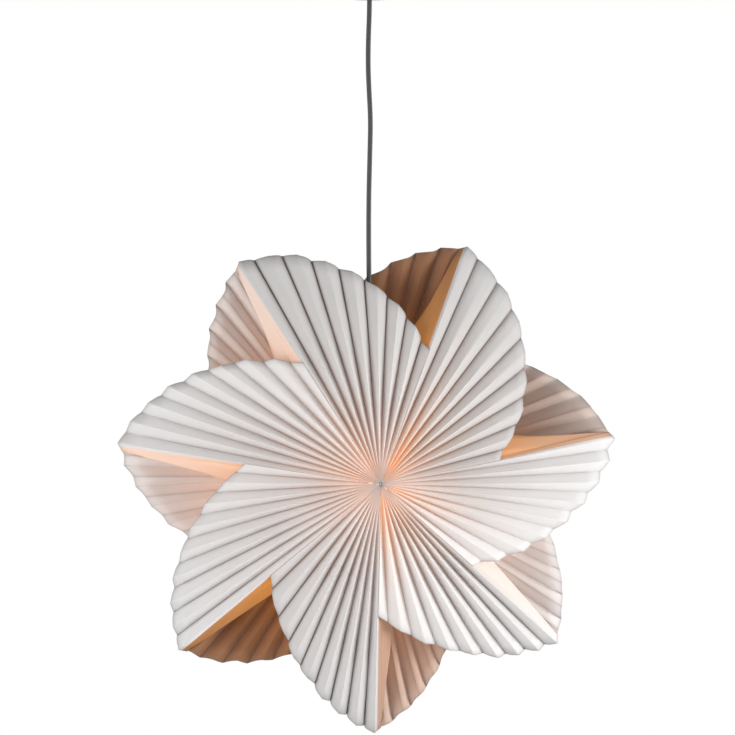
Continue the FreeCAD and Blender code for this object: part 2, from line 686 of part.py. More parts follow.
def ceiling_cup():
    """The bell-shaped cup that hides the fitting: a spun wall with a round shoulder."""
    low = CUP_BOTTOM
    hole = BUSH_RADIUS + 0.1
    outer = [
        (CUP_RIM_RADIUS, -CUP_GAP), (CUP_RIM_RADIUS - 4.0, low + CUP_SHOULDER),
        (CUP_RIM_RADIUS - 6.2, low + 8.0), (CUP_RIM_RADIUS - 11.5, low + 3.2),
        (CUP_RIM_RADIUS - 20.0, low), (hole, low),
    ]
    inner = [
        (CUP_RIM_RADIUS - CUP_WALL, -CUP_GAP), (CUP_RIM_RADIUS - 4.0 - CUP_WALL, low + CUP_SHOULDER),
        (CUP_RIM_RADIUS - 6.2 - CUP_WALL, low + 8.6), (CUP_RIM_RADIUS - 12.2, low + 3.2 + CUP_WALL),
        (CUP_RIM_RADIUS - 20.3, low + CUP_WALL), (hole, low + CUP_WALL),
    ]
    return turned(outer + inner[::-1], Vector(0, 0, 0), UP)


def cup_bush():
    """The bush in the cup's bottom. Its grub screw bears on the flex and keeps the cup up."""
    low = CUP_BOTTOM - BUSH_FLANGE_HEIGHT
    profile = [
        (0.0, low), (BUSH_FLANGE - 1.0, low), (BUSH_FLANGE, low + 1.0), (BUSH_FLANGE, low + BUSH_FLANGE_HEIGHT),
        (BUSH_RADIUS, low + BUSH_FLANGE_HEIGHT), (BUSH_RADIUS, low + BUSH_HEIGHT), (0.0, low + BUSH_HEIGHT),
    ]
    bush = turned(profile, Vector(0, 0, 0), UP, SMALL_SIDES)
    bush = bush.cut(flex_bar(low - 1.0, low + BUSH_HEIGHT + 1.0, RUNNING_GAP + BUSH_PLAY))
    level = CUP_BOTTOM + CUP_WALL + 3.4
    return bush.cut(Part.makeCylinder(GRUB_RADIUS + 0.05, BUSH_RADIUS + 1.0, Vector(0, 0, level), FORWARD))


def cup_screw():
    level = CUP_BOTTOM + CUP_WALL + 3.4
    start = CORD_THICKNESS / 2 + RUNNING_GAP + 0.5
    return Part.makeCylinder(GRUB_RADIUS, BUSH_RADIUS + 0.4 - start, Vector(0, -start, level), FORWARD)


def main():
    os.makedirs("parts", exist_ok=True)
    for number in range(PETALS):
        save("petal_%d" % (number + 1), petal(number))
    for name, side in (("front", -1), ("back", 1)):
        save("%s_boss" % name, hub_boss(side))
        save("%s_eyelet" % name, hub_eyelet(side))
    save("star_hanger", hanger())
    save("lampholder_body", lampholder_body())
    save("lampholder_cap", lampholder_cap())
    save("lampholder_insert", lampholder_insert())
    save("screw_shell", screw_shell())
    save("centre_contact", centre_contact())
    save("cord_grip", cord_grip())
    save("cord", cord())
    save("shade_ring", shade_ring())
    save("bulb_base", bulb_base())
    save("bulb_insulator", bulb_insulator())
    save("bulb_contact", bulb_contact())
    save("bulb_collar", bulb_collar())
    save("bulb_globe", bulb_globe())
    save("ceiling_bracket", ceiling_bracket())
    save("ceiling_eye", ceiling_eye())
    save("hanger_link", hanger_link())
    save("cord_clip", cord_clip())
    save("cord_tail", cord_tail())
    save("terminal_block", terminal_block())
    save("terminal_screws", terminal_screws())
    save("ceiling_cup", ceiling_cup())
    save("cup_bush", cup_bush())
    save("cup_screw", cup_screw())


main()
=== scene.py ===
import math
import random

import bmesh
import bpy
from bpy.props import FloatProperty, FloatVectorProperty, IntProperty, PointerProperty
from mathutils import Matrix, Vector, noise


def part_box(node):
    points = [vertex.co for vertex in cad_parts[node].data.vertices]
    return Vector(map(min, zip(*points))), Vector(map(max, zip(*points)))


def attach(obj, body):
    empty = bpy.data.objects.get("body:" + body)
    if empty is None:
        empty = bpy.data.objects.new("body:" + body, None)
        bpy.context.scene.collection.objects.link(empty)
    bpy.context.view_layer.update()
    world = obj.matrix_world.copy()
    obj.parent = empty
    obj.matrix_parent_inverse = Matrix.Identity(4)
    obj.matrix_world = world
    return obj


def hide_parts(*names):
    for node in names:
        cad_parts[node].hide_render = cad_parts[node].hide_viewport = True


bl_info = {
    "name": "Pleated Paper Star Lamp",
    "version": (1, 0, 0),
    "blender": (4, 5, 0),
    "location": "View3D > Sidebar > Star Lamp",
    "description": "Builds a seven-petal star lamp of pleated paper, its flex and its ceiling fitting",
    "category": "Add Mesh",
}

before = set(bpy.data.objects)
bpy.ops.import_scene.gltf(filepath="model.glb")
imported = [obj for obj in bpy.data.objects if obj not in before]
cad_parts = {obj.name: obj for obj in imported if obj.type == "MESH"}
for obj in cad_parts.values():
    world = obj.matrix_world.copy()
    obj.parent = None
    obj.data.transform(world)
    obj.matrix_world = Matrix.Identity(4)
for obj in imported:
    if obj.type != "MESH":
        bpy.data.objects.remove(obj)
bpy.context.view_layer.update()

# Petal tips seen from the front, in degrees anticlockwise from the right. Petals and leaves go clockwise.
TIP_ANGLES = (121.0, 67.1, 9.2, -41.1, -89.0, -138.8, -188.5)
PETALS = len(TIP_ANGLES)
FRONT, WEB, BACK = 0.0, 1.0, 2.0    # the parts of a petal's sheet
PLEATS_PER_LEAF = 8
CREASES = 2 * PLEATS_PER_LEAF
SLOTS = CREASES + 2             # a leaf's creases and its web's share the turn between two tips
# Length of each front leaf's last crease, as a share of its first, and how unevenly its pleats open
FRONT_JUNCTIONS = (0.555, 0.495, 0.505, 0.52, 0.54, 0.51, 0.54)
FRONT_SPREADS = (0.06, 0.06, 0.2, 0.3, 0.3, 0.2, 0.15)
BACK_JUNCTION = 0.525
BACK_SPREAD = 0.2
OUTLINE_BULGE = 0.047           # how far the cut rim bows out, as a share of the star's radius
OUTLINE_LEAN = 0.8              # below one, the bow's height lies nearer the tip
LEAF_GAP = 0.0007
WEB_FLATS = 8
TIP_STACK = 0.005               # half the folded tip's depth
TIP_FOLD = 0.008
TIP_CUT = 0.003
LAMP_ROOM = 0.118               # how far the webs stand off the hubs, to leave room for the lamp
WEB_BOW = 0.034
WEB_BOW_RISE = 1.5
WEB_FOLD = 0.3                  # a web's creases are soft beside a leaf's valley, which is one

# The small eye that the pleats close to, in front of each hub, and how its ridges and valleys stand
EYE_RADIUS = 0.0021
EYE_RIDGE_LIFT = 0.0004
EYE_VALLEY_LIFT = -0.0012
EYE_ALONG = -0.02               # the eye's place along a crease: 0 at the hub, 1 at the rim

# The paper's own unevenness: its cut rim, and its slow and quick waves, in metres
CUT_LENGTHS = (-0.0020, 0.0010)
SLOW_WAVE = 0.0006
QUICK_WAVE = 0.0003
FREE_WAVE = 0.0005              # more of the quick wave, between the creases
FLAT_CUTS = 5
CREASE_ANGLE = 75.0

# Leaf by leaf: how far a pleat's flats bow out, as a share of their opened width, how much painted shade
# greys the leaf, and how dark the painted shade in its valleys is
PLEAT_CROWNS = (0.18, 0.15, 0.06, 0.07, 0.19, 0.10, 0.06)
LEAF_SHADES = (0.44, 0.52, 0.02, 0.08, 0.42, 0.04, 0.0)
VALLEY_SHADE = (1.0, 0.65, 0.12, 0.20, 1.0, 0.25, 0.08)
INNER_LINE = 0.4
# The inner side, petal by petal: how much painted brown shade it has, how much painted warm lamp light, and
# how much painted pink lamp glow
INNER_SHADE = (0.10, 1.25, 0.40, 0.0, 0.45, 1.20, 0.0)
INNER_WARM_LIGHT = (0.18, 0.30, 0.18, 0.05, 0.45, 0.52, 0.08)
INNER_PINK_GLOW = (0.38, 0.0, 0.0, 0.66, 0.22, 0.0, 0.80)
WEB_SHADE = (0.0, 1.0, 0.35, 0.0, 0.70, 1.0, 0.0)
WEB_WARM_LIGHT = (0.35, 0.5, 0.80, 0.15, 0.5, 0.5, 0.6)
WEB_GLOW = (0.30, 0.50, 0.52, 0.10, 0.12, 0.80, 0.36)
WEB_PINK_GLOW = 0.72                # a web's painted pink lamp glow beside its back leaf's
# Where lamp light comes through the front valleys: direction, width and strength
FRONT_GLOWS = ((54.0, 11.0, 1.0), (-80.0, 6.0, 0.9), (116.0, 14.0, 0.3), (-22.0, 10.0, 0.4),
               (-60.0, 12.0, 0.25), (160.0, 16.0, 0.2), (30.0, 10.0, 0.35))
LEAST_GLOW = 0.10
# Where the painted valley shade shows as lines near the hub, in the same way; between these the gathered
# flats are plain
HUB_LINES = ((99.0, 17.0, 1.0), (48.0, 15.0, 1.0), (156.0, 12.0, 0.8), (-158.0, 12.0, 0.8),
             (-114.0, 14.0, 1.0), (-62.0, 14.0, 1.0), (-22.0, 9.0, 0.5), (6.0, 9.0, 0.4),
             (182.0, 8.0, 0.35))
LEAST_LINE = 0.12
# How far out from the hub each of these is at its full strength, and how fast it then fades, in metres
NEAR_FADE = (0.030, 0.045)
GLOW_FADE = (0.012, 0.050)
PINK_GLOW_FADE = (0.030, 0.072)
WEB_GLOW_FADE = (0.15, 0.08)
INNER_GLOW_FADE = (0.12, 0.07)
INNER_PINK_GLOW_FADE = (0.18, 0.12)
EYE_RIM = (0.003, 0.010)        # where the front's glow begins, and how soft its inner edge is

# The studio: each lamp's place from the star's middle, and its size
KEY_PLACE, KEY_SIZE = (2.5, -1.3, 0.0), (1.2, 1.2)
FILL_PLACE, FILL_SIZE = (-2.4, -1.6, -0.1), (1.8, 1.8)
FLOOR_REACH = 12.0

# The flex's hanging stretch, clip to cord grip, as its own curve's control points
CORD_ROUTE = (
    (0.0, 0.0, -0.055), (0.0, 0.0, -0.085), (-0.0013, 0.0003, -0.115), (-0.0017, 0.0005, -0.150),
    (-0.0005, 0.0003, -0.180), (0.0013, -0.0003, -0.215), (0.0003, -0.0005, -0.255),
    (-0.0010, -0.0002, -0.310), (-0.0010, 0.0001, -0.370), (-0.0003, 0.0, -0.430),
    (0.0, 0.0, -0.496), (0.0, 0.0, -0.520),
)
FLEX_WAIST = 0.86               # the flex's thickness between its cores, as a share
FLEX_TWIST = math.radians(9.0)
FLEX_CORNERS = 12               # round each of its two cores' outer side


# ---------------------------------------------------------------- what a user would change
class StageSettings(bpy.types.PropertyGroup):
    """The camera, the floor and the light"""
    distance: FloatProperty(
        name="Camera distance", description="From the camera to the star's middle",
        default=2.5, unit="LENGTH")
    turn: FloatProperty(
        name="Camera turn", description="How far to the star's left the camera stands",
        default=math.radians(6.9), subtype="ANGLE")
    aim_side: FloatProperty(
        name="Aim sideways", description="Where the camera points, right of the star's middle",
        default=-0.0024, unit="LENGTH")
    aim_up: FloatProperty(
        name="Aim height", description="Where the camera points, above the star's middle",
        default=0.1326, unit="LENGTH")
    lens: FloatProperty(
        name="Lens", description="Focal length of the camera, in millimetres", default=103.35)
    floor_height: FloatProperty(
        name="Floor height", description="Height of the floor", default=-1.6, unit="LENGTH")
    floor_colour: FloatVectorProperty(
        name="Floor colour", description="Colour of the floor", default=(0.9, 0.9, 0.9), subtype="COLOR")
    key: FloatProperty(
        name="Key light", description="Strength of the large lamp on the right", default=64.0, unit="POWER")
    fill: FloatProperty(
        name="Fill light", description="Strength of the lamp on the left", default=43.0, unit="POWER")
    sky: FloatProperty(
        name="Room light", description="Strength of the light from all round", default=0.50)


class StarSettings(bpy.types.PropertyGroup):
    """The pleated star"""
    drop: FloatProperty(
        name="Star drop", description="Ceiling to the middle of the star", default=0.640, unit="LENGTH")
    radius: FloatProperty(
        name="Star radius", description="Middle of the star to a petal's tip", default=0.300, unit="LENGTH")
    half_depth: FloatProperty(
        name="Half depth", description="Middle of the star to a hub", default=0.105, unit="LENGTH")
    flat_width: FloatProperty(
        name="Flat width", description="Crease to crease of the pleated sheet",
        default=0.01899, unit="LENGTH")
    hub_radius: FloatProperty(
        name="Hub radius", description="Where the gathered flats end", default=0.0075, unit="LENGTH")
    paper: FloatProperty(
        name="Paper", description="Thickness of the sheet", default=0.0003, unit="LENGTH")
    steps: IntProperty(
        name="Steps", description="Divisions of a flat along its length", default=14, min=2)
    colour: FloatVectorProperty(
        name="Paper colour", description="Colour of the paper",
        default=(0.80, 0.79, 0.785), subtype="COLOR")
    glow: FloatVectorProperty(
        name="Glow colour", description="Colour of lamp light through the paper",
        default=(0.90, 0.35, 0.06), subtype="COLOR")


class CordSettings(bpy.types.PropertyGroup):
    """The flat twin flex"""
    width: FloatProperty(
        name="Flex width", description="Width of the flat twin flex", default=0.0058, unit="LENGTH")
    thickness: FloatProperty(
        name="Flex thickness", description="Thickness of the flat twin flex", default=0.0040, unit="LENGTH")
    colour: FloatVectorProperty(
        name="Flex colour", description="Colour of the flex",
        default=(0.035, 0.034, 0.034), subtype="COLOR")


class FittingSettings(bpy.types.PropertyGroup):
    """The lampholder, the bulb and the ceiling cup"""
    plastic: FloatVectorProperty(
        name="Plastic colour", description="Colour of the lampholder and the cup",
        default=(0.62, 0.62, 0.61), subtype="COLOR")
    bulb_light: FloatProperty(
        name="Bulb light", description="How brightly the bulb's globe shines", default=3.0)
    bulb_colour: FloatVectorProperty(
        name="Bulb colour", description="Colour of the bulb's light",
        default=(1.0, 0.62, 0.32), subtype="COLOR")


# ---------------------------------------------------------------- materials
class Value:
    """A number in a material. Sums on it are written as sums, and become Math nodes."""

    def __init__(self, finish, socket):
        self.finish = finish
        self.socket = socket

    def worked(self, operation, *others):
        inputs = dict(enumerate((self, *others)))
        return self.finish.node("ShaderNodeMath", {"operation": operation}, inputs)

    def __add__(self, other):
        return self.worked("ADD", other)

    def __sub__(self, other):
        return self.worked("SUBTRACT", other)

    def __rsub__(self, other):
        return (self * -1.0) + other

    def __mul__(self, other):
        return self.worked("MULTIPLY", other)

    def __pow__(self, other):
        return self.worked("POWER", other)

    __radd__ = __add__
    __rmul__ = __mul__

    def clamped(self):
        return self.worked("MAXIMUM", 0.0).worked("MINIMUM", 1.0)


class Nodes:
    """An emptied node tree, and one way to put any node in it."""

    def __init__(self, tree):
        self.tree = tree
        self.tree.nodes.clear()

    def join(self, source, socket):
        self.tree.links.new(source, socket)

    def put(self, value, socket):
        if isinstance(value, Value):
            self.join(value.socket, socket)
        elif isinstance(value, (tuple, list)) and socket.type == "RGBA":
            socket.default_value = (*value[:3], 1.0)
        else:
            socket.default_value = value

    def node(self, kind, settings=None, inputs=None, output=0):
        """Any node: its settings first, then the values or links of its sockets."""
        made = self.tree.nodes.new(kind)
        for name, value in (settings or {}).items():
            setattr(made, name, value)
        for name, value in (inputs or {}).items():
            self.put(value, made.inputs[name])
        return Value(self, made.outputs[output])

    def seen(self):
        """One where the camera, a gloss or a glass looks straight at the stage."""
        kinds = ("Is Camera Ray", "Is Glossy Ray", "Is Transmission Ray")
        seen = [self.node("ShaderNodeLightPath", output=kind) for kind in kinds]
        return (seen[0] + seen[1] + seen[2]).clamped()


class Finish(Nodes):
    """A material in the making: its shader and the nodes that feed it."""

    def __init__(self, name, **settings):
        self.material = bpy.data.materials.new(name)
        self.material.use_nodes = True
        super().__init__(self.material.node_tree)
        self.end = self.tree.nodes.new("ShaderNodeOutputMaterial")
        self.skin = self.tree.nodes.new("ShaderNodeBsdfPrincipled")
        self.join(self.skin.outputs[0], self.end.inputs[0])
        for socket, value in settings.items():
            self.feed(socket.replace("_", " "), value)

    def feed(self, name, value):
        self.put(value, self.skin.inputs[name])

    def place(self):
        return self.node("ShaderNodeTexCoord", output="Object")

    def stretched(self, scale):
        return self.node("ShaderNodeMapping", inputs={"Vector": self.place(), "Scale": scale})

    def cloud(self, scale, detail=3.0, roughness=0.55, vector=None):
        """Soft noise in the object's own space, at a number of patches a metre."""
        inputs = {"Vector": vector or self.place(), "Scale": scale, "Detail": detail, "Roughness": roughness}
        return self.node("ShaderNodeTexNoise", inputs=inputs)

    def attribute(self, name):
        return self.node("ShaderNodeAttribute", {"attribute_name": name}, output="Fac")

    def mix(self, factor, first, second):
        return self.node("ShaderNodeMix", {"data_type": "RGBA"}, {0: factor, 6: first, 7: second}, output=2)

    def bump(self, height, distance, strength=1.0):
        inputs = {"Height": height, "Distance": distance, "Strength": strength}
        self.feed("Normal", self.node("ShaderNodeBump", inputs=inputs))

    def through(self, share, colour):
        """Lets a share of the light through the sheet."""
        leaf = self.node("ShaderNodeBsdfTranslucent", inputs={"Color": colour})
        inputs = {0: share, 1: Value(self, self.skin.outputs[0]), 2: leaf}
        mixed = self.node("ShaderNodeMixShader", inputs=inputs)
        self.join(mixed.socket, self.end.inputs[0])


def paper(name, colour, glow_colour, inner=False, cut=False):
    """Pleated paper: fine fibres, faint clouds, painted shade (valleys, whole leaves, inner side, cut rim),
    and painted lamp light where it glows.
    """
    finish = Finish(name, Roughness=0.86, Specular_IOR_Level=0.25)
    fibre = finish.cloud(900.0, 4.0, 0.7, finish.stretched((1.0, 1.0, 0.45)))
    cloud = finish.cloud(26.0, 3.0)
    fold = finish.attribute("fold")
    base = finish.mix(cloud * 0.4, colour, tuple(0.94 * c for c in colour))
    base = finish.mix((fibre - 0.45).clamped() * 0.35, base, tuple(0.82 * c for c in colour))
    if inner:
        # Painted light and shade on the inner side: warm lamp light turns it peach, shade turns it brown
        base = finish.mix(finish.attribute("warm").clamped() * 0.9, base, (0.80, 0.46, 0.29))
        base = finish.mix(finish.attribute("shade").clamped(), base, (0.29, 0.125, 0.055))
    # Painted shade, leaf by leaf: a leaf turned away from the light is greyed as a whole
    base = finish.mix(finish.attribute("grey").clamped(), base, (0.42, 0.41, 0.405))
    near = finish.attribute("near").clamped()
    glow = finish.attribute("glow").clamped()
    # Painted shade in the valleys: far from the hub a thin dark line with a soft side; near it, broader and
    # redder with painted lamp light
    far_valley_shade = ((fold ** 12.0) * 0.85 + (fold ** 4.0) * 0.30) * finish.attribute("line") * (1.0 - near)
    line = far_valley_shade + (fold ** 2.5) * near * finish.attribute("line")
    base = finish.mix(line.clamped(), base, finish.mix(near, (0.16, 0.11, 0.09), (0.42, 0.17, 0.095)))
    base = finish.mix(glow * 0.9, base, (0.74, 0.34, 0.08))
    # Painted shade: a thin darker band along the cut rim
    rim = (finish.attribute("along") ** 160.0) * 0.55
    base = finish.mix(rim.clamped(), base, (0.20, 0.18, 0.17))
    # The cut edge itself is painted darker, as shade
    if cut:
        base = finish.mix(0.6, base, (0.26, 0.23, 0.22))
    finish.feed("Base Color", base)
    # Painted lamp light, given off by the sheet: a pink glow, with the orange glow over it
    light = finish.mix(finish.attribute("blush").clamped(), (0.0, 0.0, 0.0), (0.42, 0.29, 0.245))
    finish.feed("Emission Color", finish.mix(glow, light, glow_colour))
    finish.feed("Emission Strength", 0.56)
    finish.bump(fibre + cloud * 0.5, 0.00022, 0.6)
    finish.through(0.16, colour)
    return finish.material


def moulded_plastic(name, colour, roughness=0.32):
    """Smooth moulded plastic with a faint orange-peel skin and a few soft handling marks."""
    finish = Finish(name)
    peel = finish.cloud(700.0, 2.0)
    marks = finish.cloud(35.0, 4.0, 0.6)
    finish.feed("Base Color", finish.mix(marks * 0.35, colour, tuple(0.9 * c for c in colour)))
    finish.feed("Roughness", marks * 0.18 + (roughness - 0.06))
    finish.bump(peel, 0.00005, 0.4)
    return finish.material


def brushed_metal(name, colour, roughness=0.34):
    """Plated or plain metal with fine drawn lines and cloudy dullness."""
    finish = Finish(name, Metallic=1.0)
    lines = finish.cloud(2600.0, 3.0, 0.6, finish.stretched((1.0, 1.0, 0.06)))
    dull = finish.cloud(120.0, 4.0)
    finish.feed("Base Color", finish.mix(dull * 0.5, colour, tuple(0.78 * c for c in colour)))
    finish.feed("Roughness", lines * 0.12 + dull * 0.16 + (roughness - 0.14))
    finish.bump(lines, 0.00003, 0.5)
    return finish.material


def opal_diffuser(name, colour, light, strength):
    """Opal globe: a smooth skin that shines, a little unevenly in soft clouds."""
    finish = Finish(name, Roughness=0.28, Specular_IOR_Level=0.5)
    haze = finish.cloud(60.0, 2.0)
    finish.feed("Base Color", finish.mix(haze * 0.4, colour, (0.86, 0.84, 0.80)))
    finish.feed("Emission Color", finish.mix(haze * 0.25, light, tuple(0.8 * c for c in light)))
    finish.feed("Emission Strength", strength)
    return finish.material


def flex_skin(name, colour):
    """Extruded flex: a satin skin with faint drawn lines along it and soft patches of dust."""
    finish = Finish(name, Roughness=0.42)
    dust = finish.cloud(90.0, 4.0, 0.65)
    drawn = finish.cloud(1500.0, 2.0, 0.5, finish.stretched((1.0, 1.0, 0.03)))
    finish.feed("Base Color", finish.mix(dust * 0.45, colour, tuple(1.5 * c for c in colour)))
    finish.feed("Roughness", dust * 0.2 + 0.32)
    finish.bump(drawn, 0.00004, 0.5)
    return finish.material


# ---------------------------------------------------------------- making pieces
ON_AXIS = 1e-6                  # nearer than this to the axis, a turned corner is on it


def settled(bm, name, materials, sharp=30.0, recalculate=True):
    """Turns a finished bmesh into an object at the origin, smooth but for its hard edges."""
    if recalculate:
        bmesh.ops.recalc_face_normals(bm, faces=bm.faces[:])
    for face in bm.faces:
        face.smooth = True
    for edge in bm.edges:
        edge.smooth = edge.smooth and edge.calc_face_angle(0.0) < math.radians(sharp)
    mesh = bpy.data.meshes.new(name)
    bm.to_mesh(mesh)
    bm.free()
    made = bpy.data.objects.new(name, mesh)
    bpy.context.scene.collection.objects.link(made)
    for material in materials:
        mesh.materials.append(material)
    return made


def spun(name, profile, look, body, node, corner=0.0004, steps=96, place=None, wave=None):
    """A turned piece from (radius, height) corners, each a little rounded. It stands for its CAD node."""
    material, slot = look
    bm = bmesh.new()
    verts = [bm.verts.new((radius, 0.0, height)) for radius, height in profile]
    for pair in zip(verts, verts[1:] + verts[:1]):
        bm.edges.new(pair)
    if corner:
        off_axis = [vert for vert in verts if vert.co.x > ON_AXIS]
        bmesh.ops.bevel(bm, geom=off_axis, offset=corner, segments=3, profile=0.5, affect="VERTICES",
                        material=-1)
    axial = [edge for edge in bm.edges if all(vert.co.x < ON_AXIS for vert in edge.verts)]
    bmesh.ops.delete(bm, geom=axial, context="EDGES")
    geometry = bm.verts[:] + bm.edges[:]
    bmesh.ops.spin(bm, geom=geometry, axis=(0, 0, 1), cent=(0, 0, 0), angle=math.tau, steps=steps,
                   use_merge=True)
    bmesh.ops.remove_doubles(bm, verts=bm.verts[:], dist=ON_AXIS)
    if wave:
        for vert in bm.verts:
            radius = math.hypot(vert.co.x, vert.co.y)
            if radius > ON_AXIS:
                grown = (radius + wave(radius, math.atan2(vert.co.y, vert.co.x), vert.co.z)) / radius
                vert.co.x *= grown
                vert.co.y *= grown
    if place:
        bmesh.ops.transform(bm, matrix=place, verts=bm.verts[:])
    made = settled(bm, name, [material])
    return placed(made, body, node)


def wall(outer, thickness):
    """A closed profile: the outer line of (radius, height) corners and its inner line, one wall inwards."""
    return outer + [(radius - thickness, height) for radius, height in reversed(outer)]


def rows(radius, low, high, count):
    return [(radius, low + (high - low) * n / count) for n in range(count + 1)]


def rolled_thread(pitch, depth, low, high):
    """A wave that winds round a tube as a rolled thread and fades out at both its ends."""
    def wave(radius, turn, height):
        fade = min(1.0, max(0.0, min(height - low, high - height) / pitch))
        return depth * fade * math.cos(math.tau * height / pitch - turn)
    return wave


def ribbed(count, depth, low, high, least):
    """A wave of upright ribs round a grip, between two heights and outside a radius."""
    def wave(radius, turn, height):
        if radius < least or not low <= height <= high:
            return 0.0
        return depth * (math.cos(count * turn) - 1.0) / 2.0
    return wave


def wires(name, lines, thickness, look, body, node):
    """Bent round wires along lines of points, with their corners drawn round."""
    curve = bpy.data.curves.new(name, "CURVE")
    curve.dimensions = "3D"
    curve.resolution_u = 8
    curve.bevel_depth = thickness / 2
    curve.bevel_resolution = 4
    curve.use_fill_caps = True
    for points, cyclic in lines:
        spline = curve.splines.new("NURBS")
        spline.points.add(len(points) - 1)
        for point, place in zip(spline.points, points):
            point.co = (*place, 1.0)
        spline.order_u = 3
        spline.use_endpoint_u = not cyclic
        spline.use_cyclic_u = cyclic
    made = bpy.data.objects.new(name, curve)
    bpy.context.scene.collection.objects.link(made)
    material, slot = look
    curve.materials.append(material)
    return placed(made, body, node)


def placed(piece, body, nodes):
    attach(piece, body)
    nodes = [nodes] if isinstance(nodes, str) else nodes or []
    if nodes:
        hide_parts(*nodes)
    return piece


def finish_node(node, material, slot):
    """A CAD node keeps its shape and gets its finish."""
    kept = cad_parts[node]
    kept.data.materials.clear()
    kept.data.materials.append(material)


# ---------------------------------------------------------------- pleated petals
def on_star(star, angle, radius, y):
    turn = math.radians(angle)
    return Vector((radius * math.cos(turn), y, radius * math.sin(turn) - star.drop))


def across(angle):
    turn = math.radians(angle)
    return Vector((-math.sin(turn), 0.0, math.cos(turn)))


def cone_depth(star, radius):
    share = (star.radius - radius) / (star.radius - star.hub_radius)
    return TIP_STACK + (star.half_depth - TIP_STACK) * share


def outline(share, junction):
    return 1.0 - (1.0 - junction) * share + OUTLINE_BULGE * math.sin(math.pi * share ** OUTLINE_LEAN)


def spread(share, cubic):
    return (1.0 - cubic) * share + cubic * share ** 3


def leaf_creases(star, tip, span, side, junction, cubic):
    """Creases of one leaf from its tip line outwards: hub end, rim end, and whether it is a valley."""
    clear = math.degrees(LEAF_GAP / (star.radius * junction))
    slope = math.atan2(star.half_depth - TIP_STACK, star.radius - star.hub_radius)
    places = []
    for step in range(CREASES + 1):
        share = step / CREASES
        radius = star.radius * outline(share, junction)
        angle = tip - side * (span - clear) * spread(share, cubic)
        places.append((angle, radius, -side * cone_depth(star, radius)))
    creases = []
    for step, (angle, radius, y) in enumerate(places):
        rim = on_star(star, angle, radius, y)
        near = [on_star(star, *places[n]) for n in (step - 1, step + 1) if 0 <= n <= CREASES]
        chord = sum((point - rim).length for point in near) / len(near)
        valley = step % 2
        depth = valley * math.sqrt(star.flat_width ** 2 - chord ** 2)
        rim = on_star(star, angle, radius - depth * math.sin(slope), y + side * depth * math.cos(slope))
        hub_angle = tip - side * span * step / SLOTS
        hub_depth = star.half_depth - valley * star.flat_width
        hub = on_star(star, hub_angle, star.hub_radius, -side * hub_depth)
        creases.append((hub, rim, float(valley), step / CREASES))
    return creases


def web_creases(star, tip, front_slot, back_slot):
    """Creases of the web between a petal's two tip lines. They fan out from the tip's folded stack."""
    creases = []
    for step in range(1, WEB_FLATS):
        side = 1 if step < WEB_FLATS / 2 else -1
        odd = step % 2
        share = 2.0 * (step - 1) / (WEB_FLATS - 2) - 1.0
        bow = 1.0 - share ** 2
        middle = star.hub_radius + LAMP_ROOM * math.sqrt(bow)
        lean = {1: front_slot, WEB_FLATS - 1: -back_slot}.get(step, 0.0)
        inner = on_star(star, tip + lean, middle, (star.half_depth - star.flat_width) * share)
        inner += across(tip) * (WEB_BOW * bow ** WEB_BOW_RISE)
        stack = TIP_STACK * (2.0 * step / WEB_FLATS - 1.0)
        outer = on_star(star, tip, star.radius - TIP_CUT * (1 + odd), stack)
        outer += across(tip) * (side * odd * TIP_FOLD)
        creases.append((inner, outer, WEB_FOLD, step / WEB_FLATS))
    return creases


def petal_creases(star, number):
    """A sheet's creases in order: hub end, rim end, fold, place across its part, and the part."""
    tip = TIP_ANGLES[number]
    front_span = (tip - TIP_ANGLES[(number + 1) % PETALS]) % 360.0
    back_span = (TIP_ANGLES[number - 1] - tip) % 360.0
    front = leaf_creases(star, tip, front_span, 1, FRONT_JUNCTIONS[number], FRONT_SPREADS[number])
    web = web_creases(star, tip, back_span / SLOTS, front_span / SLOTS)
    back = leaf_creases(star, tip, back_span, -1, BACK_JUNCTION, BACK_SPREAD)
    parts = ((front[::-1], FRONT), (web, WEB), (back, BACK))
    return [(*crease, part) for creases, part in parts for crease in creases]


def gather(bm, star, ends, along):
    """Draws a leaf's pleats in to a small eye in front of the hub's boss."""
    chain = [bm.edges.get(pair) for pair in zip(ends, ends[1:])]
    drawn = bmesh.ops.extrude_edge_only(bm, edges=chain)["geom"]
    for vert in (item for item in drawn if isinstance(item, bmesh.types.BMVert)):
        ridge = abs(vert.co.y) > star.half_depth - 0.001
        lift = star.half_depth + (EYE_RIDGE_LIFT if ridge else EYE_VALLEY_LIFT)
        height = vert.co.z + star.drop
        share = EYE_RADIUS / math.hypot(vert.co.x, height)
        vert.co = Vector((vert.co.x * share, math.copysign(lift, vert.co.y), height * share - star.drop))
        vert[along] = EYE_ALONG


